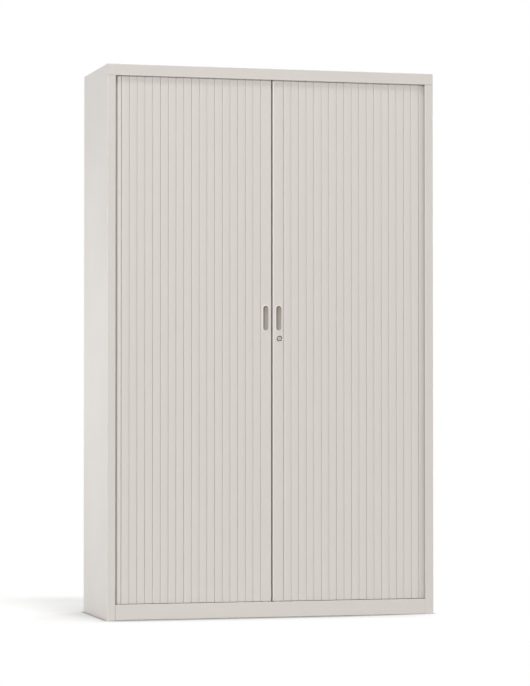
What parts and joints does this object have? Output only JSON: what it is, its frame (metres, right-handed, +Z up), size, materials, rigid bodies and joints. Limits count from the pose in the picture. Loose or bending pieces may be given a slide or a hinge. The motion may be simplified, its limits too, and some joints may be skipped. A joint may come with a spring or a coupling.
{
  "type": "tambour door cabinet",
  "caption": "Tall steel storage cupboard with two slatted tambour leaves that part at the middle and slide into side pockets, with shelves inside and a hook lock.",
  "frame": {"origin": "middle of the base, on the floor", "axes": "+X to the right seen from the front, +Y to the back, +Z up"},
  "size_m": [1.2, 0.42, 1.95],
  "materials": {
    "carcass": "warm light grey powder coat with a fine orange-peel texture",
    "curtain": "warm light grey moulded slats with a satin face",
    "pull": "taupe grey moulded plastic, satin",
    "lock_metal": "satin nickel plate",
    "plated_steel": "bright zinc plate",
    "guide": "light grey extruded plastic track",
    "foot": "black moulded plastic"
  },
  "bodies": {
    "cabinet": {"top_panel": "carcass", "left_side_panel": "carcass", "right_side_panel": "carcass", "back_panel": "carcass", "base_pan": "carcass", "inner_liner": "carcass", "bottom_track": "guide", "top_track": "guide", "shelf_1": "carcass", "shelf_2": "carcass", "shelf_3": "carcass", "shelf_4": "carcass", "shelf_clips": "plated_steel", "levelling_feet": "foot", "left_tail_slats": "curtain", "right_tail_slats": "curtain"},
    "left_leaf": {"left_lead_slat": "curtain", "left_finger_pull": "pull", "keeper_plate": "plated_steel"},
    "right_leaf": {"right_lead_slat": "curtain", "right_finger_pull": "pull", "lock_housing": "lock_metal"},
    "lock_core": {"lock_plug": "lock_metal", "lock_hook": "plated_steel"},
    "left_slat_01": {"left_slat_01": "curtain"},
    "left_slat_02": {"left_slat_02": "curtain"},
    "left_slat_03": {"left_slat_03": "curtain"},
    "left_slat_04": {"left_slat_04": "curtain"},
    "left_slat_05": {"left_slat_05": "curtain"},
    "left_slat_06": {"left_slat_06": "curtain"},
    "left_slat_07": {"left_slat_07": "curtain"},
    "left_slat_08": {"left_slat_08": "curtain"},
    "left_slat_09": {"left_slat_09": "curtain"},
    "left_slat_10": {"left_slat_10": "curtain"},
    "left_slat_11": {"left_slat_11": "curtain"},
    "left_slat_12": {"left_slat_12": "curtain"},
    "left_slat_13": {"left_slat_13": "curtain"},
    "left_slat_14": {"left_slat_14": "curtain"},
    "left_slat_15": {"left_slat_15": "curtain"},
    "left_slat_16": {"left_slat_16": "curtain"},
    "left_slat_17": {"left_slat_17": "curtain"},
    "left_slat_18": {"left_slat_18": "curtain"},
    "right_slat_01": {"right_slat_01": "curtain"},
    "right_slat_02": {"right_slat_02": "curtain"},
    "right_slat_03": {"right_slat_03": "curtain"},
    "right_slat_04": {"right_slat_04": "curtain"},
    "right_slat_05": {"right_slat_05": "curtain"},
    "right_slat_06": {"right_slat_06": "curtain"},
    "right_slat_07": {"right_slat_07": "curtain"},
    "right_slat_08": {"right_slat_08": "curtain"},
    "right_slat_09": {"right_slat_09": "curtain"},
    "right_slat_10": {"right_slat_10": "curtain"},
    "right_slat_11": {"right_slat_11": "curtain"},
    "right_slat_12": {"right_slat_12": "curtain"},
    "right_slat_13": {"right_slat_13": "curtain"},
    "right_slat_14": {"right_slat_14": "curtain"},
    "right_slat_15": {"right_slat_15": "curtain"},
    "right_slat_16": {"right_slat_16": "curtain"},
    "right_slat_17": {"right_slat_17": "curtain"},
    "right_slat_18": {"right_slat_18": "curtain"}
  },
  "joints": [
    {"name": "left_leaf_slide", "type": "slide", "parent": "cabinet", "child": "left_leaf", "axis": [-1, 0, 0], "range_m": [0, 0.50584]},
    {"name": "right_leaf_slide", "type": "slide", "parent": "cabinet", "child": "right_leaf", "axis": [1, 0, 0], "range_m": [0, 0.50584]},
    {"name": "lock_turn", "type": "hinge", "parent": "right_leaf", "child": "lock_core", "pos_m": [0.0265, -0.201, 0.989], "axis": [0, 1, 0], "range_deg": [0, 90]},
    {"name": "left_slat_01_slide", "type": "slide", "parent": "cabinet", "child": "left_slat_01", "axis": [-1, 0, 0], "range_m": [0, 0.5255], "deforming": ["left_slat_01"]},
    {"name": "left_slat_02_slide", "type": "slide", "parent": "cabinet", "child": "left_slat_02", "axis": [-1, 0, 0], "range_m": [0, 0.4974], "deforming": ["left_slat_02"]},
    {"name": "left_slat_03_slide", "type": "slide", "parent": "cabinet", "child": "left_slat_03", "axis": [-1, 0, 0], "range_m": [0, 0.46929], "deforming": ["left_slat_03"]},
    {"name": "left_slat_04_slide", "type": "slide", "parent": "cabinet", "child": "left_slat_04", "axis": [-1, 0, 0], "range_m": [0, 0.44119], "deforming": ["left_slat_04"]},
    {"name": "left_slat_05_slide", "type": "slide", "parent": "cabinet", "child": "left_slat_05", "axis": [-1, 0, 0], "range_m": [0, 0.41309], "deforming": ["left_slat_05"]},
    {"name": "left_slat_06_slide", "type": "slide", "parent": "cabinet", "child": "left_slat_06", "axis": [-1, 0, 0], "range_m": [0, 0.38499], "deforming": ["left_slat_06"]},
    {"name": "left_slat_07_slide", "type": "slide", "parent": "cabinet", "child": "left_slat_07", "axis": [-1, 0, 0], "range_m": [0, 0.35689], "deforming": ["left_slat_07"]},
    {"name": "left_slat_08_slide", "type": "slide", "parent": "cabinet", "child": "left_slat_08", "axis": [-1, 0, 0], "range_m": [0, 0.32878], "deforming": ["left_slat_08"]},
    {"name": "left_slat_09_slide", "type": "slide", "parent": "cabinet", "child": "left_slat_09", "axis": [-1, 0, 0], "range_m": [0, 0.30068], "deforming": ["left_slat_09"]},
    {"name": "left_slat_10_slide", "type": "slide", "parent": "cabinet", "child": "left_slat_10", "axis": [-1, 0, 0], "range_m": [0, 0.27258], "deforming": ["left_slat_10"]},
    {"name": "left_slat_11_slide", "type": "slide", "parent": "cabinet", "child": "left_slat_11", "axis": [-1, 0, 0], "range_m": [0, 0.24448], "deforming": ["left_slat_11"]},
    {"name": "left_slat_12_slide", "type": "slide", "parent": "cabinet", "child": "left_slat_12", "axis": [-1, 0, 0], "range_m": [0, 0.21638], "deforming": ["left_slat_12"]},
    {"name": "left_slat_13_slide", "type": "slide", "parent": "cabinet", "child": "left_slat_13", "axis": [-1, 0, 0], "range_m": [0, 0.18827], "deforming": ["left_slat_13"]},
    {"name": "left_slat_14_slide", "type": "slide", "parent": "cabinet", "child": "left_slat_14", "axis": [-1, 0, 0], "range_m": [0, 0.16017], "deforming": ["left_slat_14"]},
    {"name": "left_slat_15_slide", "type": "slide", "parent": "cabinet", "child": "left_slat_15", "axis": [-1, 0, 0], "range_m": [0, 0.13207], "deforming": ["left_slat_15"]},
    {"name": "left_slat_16_slide", "type": "slide", "parent": "cabinet", "child": "left_slat_16", "axis": [-1, 0, 0], "range_m": [0, 0.10397], "deforming": ["left_slat_16"]},
    {"name": "left_slat_17_slide", "type": "slide", "parent": "cabinet", "child": "left_slat_17", "axis": [-1, 0, 0], "range_m": [0, 0.07587], "deforming": ["left_slat_17"]},
    {"name": "left_slat_18_slide", "type": "slide", "parent": "cabinet", "child": "left_slat_18", "axis": [-1, 0, 0], "range_m": [0, 0.04776], "deforming": ["left_slat_18"]},
    {"name": "right_slat_01_slide", "type": "slide", "parent": "cabinet", "child": "right_slat_01", "axis": [1, 0, 0], "range_m": [0, 0.5255], "deforming": ["right_slat_01"]},
    {"name": "right_slat_02_slide", "type": "slide", "parent": "cabinet", "child": "right_slat_02", "axis": [1, 0, 0], "range_m": [0, 0.4974], "deforming": ["right_slat_02"]},
    {"name": "right_slat_03_slide", "type": "slide", "parent": "cabinet", "child": "right_slat_03", "axis": [1, 0, 0], "range_m": [0, 0.46929], "deforming": ["right_slat_03"]},
    {"name": "right_slat_04_slide", "type": "slide", "parent": "cabinet", "child": "right_slat_04", "axis": [1, 0, 0], "range_m": [0, 0.44119], "deforming": ["right_slat_04"]},
    {"name": "right_slat_05_slide", "type": "slide", "parent": "cabinet", "child": "right_slat_05", "axis": [1, 0, 0], "range_m": [0, 0.41309], "deforming": ["right_slat_05"]},
    {"name": "right_slat_06_slide", "type": "slide", "parent": "cabinet", "child": "right_slat_06", "axis": [1, 0, 0], "range_m": [0, 0.38499], "deforming": ["right_slat_06"]},
    {"name": "right_slat_07_slide", "type": "slide", "parent": "cabinet", "child": "right_slat_07", "axis": [1, 0, 0], "range_m": [0, 0.35689], "deforming": ["right_slat_07"]},
    {"name": "right_slat_08_slide", "type": "slide", "parent": "cabinet", "child": "right_slat_08", "axis": [1, 0, 0], "range_m": [0, 0.32878], "deforming": ["right_slat_08"]},
    {"name": "right_slat_09_slide", "type": "slide", "parent": "cabinet", "child": "right_slat_09", "axis": [1, 0, 0], "range_m": [0, 0.30068], "deforming": ["right_slat_09"]},
    {"name": "right_slat_10_slide", "type": "slide", "parent": "cabinet", "child": "right_slat_10", "axis": [1, 0, 0], "range_m": [0, 0.27258], "deforming": ["right_slat_10"]},
    {"name": "right_slat_11_slide", "type": "slide", "parent": "cabinet", "child": "right_slat_11", "axis": [1, 0, 0], "range_m": [0, 0.24448], "deforming": ["right_slat_11"]},
    {"name": "right_slat_12_slide", "type": "slide", "parent": "cabinet", "child": "right_slat_12", "axis": [1, 0, 0], "range_m": [0, 0.21638], "deforming": ["right_slat_12"]},
    {"name": "right_slat_13_slide", "type": "slide", "parent": "cabinet", "child": "right_slat_13", "axis": [1, 0, 0], "range_m": [0, 0.18827], "deforming": ["right_slat_13"]},
    {"name": "right_slat_14_slide", "type": "slide", "parent": "cabinet", "child": "right_slat_14", "axis": [1, 0, 0], "range_m": [0, 0.16017], "deforming": ["right_slat_14"]},
    {"name": "right_slat_15_slide", "type": "slide", "parent": "cabinet", "child": "right_slat_15", "axis": [1, 0, 0], "range_m": [0, 0.13207], "deforming": ["right_slat_15"]},
    {"name": "right_slat_16_slide", "type": "slide", "parent": "cabinet", "child": "right_slat_16", "axis": [1, 0, 0], "range_m": [0, 0.10397], "deforming": ["right_slat_16"]},
    {"name": "right_slat_17_slide", "type": "slide", "parent": "cabinet", "child": "right_slat_17", "axis": [1, 0, 0], "range_m": [0, 0.07587], "deforming": ["right_slat_17"]},
    {"name": "right_slat_18_slide", "type": "slide", "parent": "cabinet", "child": "right_slat_18", "axis": [1, 0, 0], "range_m": [0, 0.04776], "deforming": ["right_slat_18"]}
  ],
  "couplings": [
    {"joint": "left_slat_01_slide", "follows": "left_leaf_slide", "ratio": 1.0387},
    {"joint": "left_slat_02_slide", "follows": "left_leaf_slide", "ratio": 0.98312},
    {"joint": "left_slat_03_slide", "follows": "left_leaf_slide", "ratio": 0.92756},
    {"joint": "left_slat_04_slide", "follows": "left_leaf_slide", "ratio": 0.87201},
    {"joint": "left_slat_05_slide", "follows": "left_leaf_slide", "ratio": 0.81645},
    {"joint": "left_slat_06_slide", "follows": "left_leaf_slide", "ratio": 0.76089},
    {"joint": "left_slat_07_slide", "follows": "left_leaf_slide", "ratio": 0.70534},
    {"joint": "left_slat_08_slide", "follows": "left_leaf_slide", "ratio": 0.64978},
    {"joint": "left_slat_09_slide", "follows": "left_leaf_slide", "ratio": 0.59423},
    {"joint": "left_slat_10_slide", "follows": "left_leaf_slide", "ratio": 0.53867},
    {"joint": "left_slat_11_slide", "follows": "left_leaf_slide", "ratio": 0.48312},
    {"joint": "left_slat_12_slide", "follows": "left_leaf_slide", "ratio": 0.42756},
    {"joint": "left_slat_13_slide", "follows": "left_leaf_slide", "ratio": 0.37201},
    {"joint": "left_slat_14_slide", "follows": "left_leaf_slide", "ratio": 0.31645},
    {"joint": "left_slat_15_slide", "follows": "left_leaf_slide", "ratio": 0.26089},
    {"joint": "left_slat_16_slide", "follows": "left_leaf_slide", "ratio": 0.20534},
    {"joint": "left_slat_17_slide", "follows": "left_leaf_slide", "ratio": 0.14978},
    {"joint": "left_slat_18_slide", "follows": "left_leaf_slide", "ratio": 0.094228},
    {"joint": "right_slat_01_slide", "follows": "right_leaf_slide", "ratio": 1.0387},
    {"joint": "right_slat_02_slide", "follows": "right_leaf_slide", "ratio": 0.98312},
    {"joint": "right_slat_03_slide", "follows": "right_leaf_slide", "ratio": 0.92756},
    {"joint": "right_slat_04_slide", "follows": "right_leaf_slide", "ratio": 0.87201},
    {"joint": "right_slat_05_slide", "follows": "right_leaf_slide", "ratio": 0.81645},
    {"joint": "right_slat_06_slide", "follows": "right_leaf_slide", "ratio": 0.76089},
    {"joint": "right_slat_07_slide", "follows": "right_leaf_slide", "ratio": 0.70534},
    {"joint": "right_slat_08_slide", "follows": "right_leaf_slide", "ratio": 0.64978},
    {"joint": "right_slat_09_slide", "follows": "right_leaf_slide", "ratio": 0.59423},
    {"joint": "right_slat_10_slide", "follows": "right_leaf_slide", "ratio": 0.53867},
    {"joint": "right_slat_11_slide", "follows": "right_leaf_slide", "ratio": 0.48312},
    {"joint": "right_slat_12_slide", "follows": "right_leaf_slide", "ratio": 0.42756},
    {"joint": "right_slat_13_slide", "follows": "right_leaf_slide", "ratio": 0.37201},
    {"joint": "right_slat_14_slide", "follows": "right_leaf_slide", "ratio": 0.31645},
    {"joint": "right_slat_15_slide", "follows": "right_leaf_slide", "ratio": 0.26089},
    {"joint": "right_slat_16_slide", "follows": "right_leaf_slide", "ratio": 0.20534},
    {"joint": "right_slat_17_slide", "follows": "right_leaf_slide", "ratio": 0.14978},
    {"joint": "right_slat_18_slide", "follows": "right_leaf_slide", "ratio": 0.094228}
  ]
}
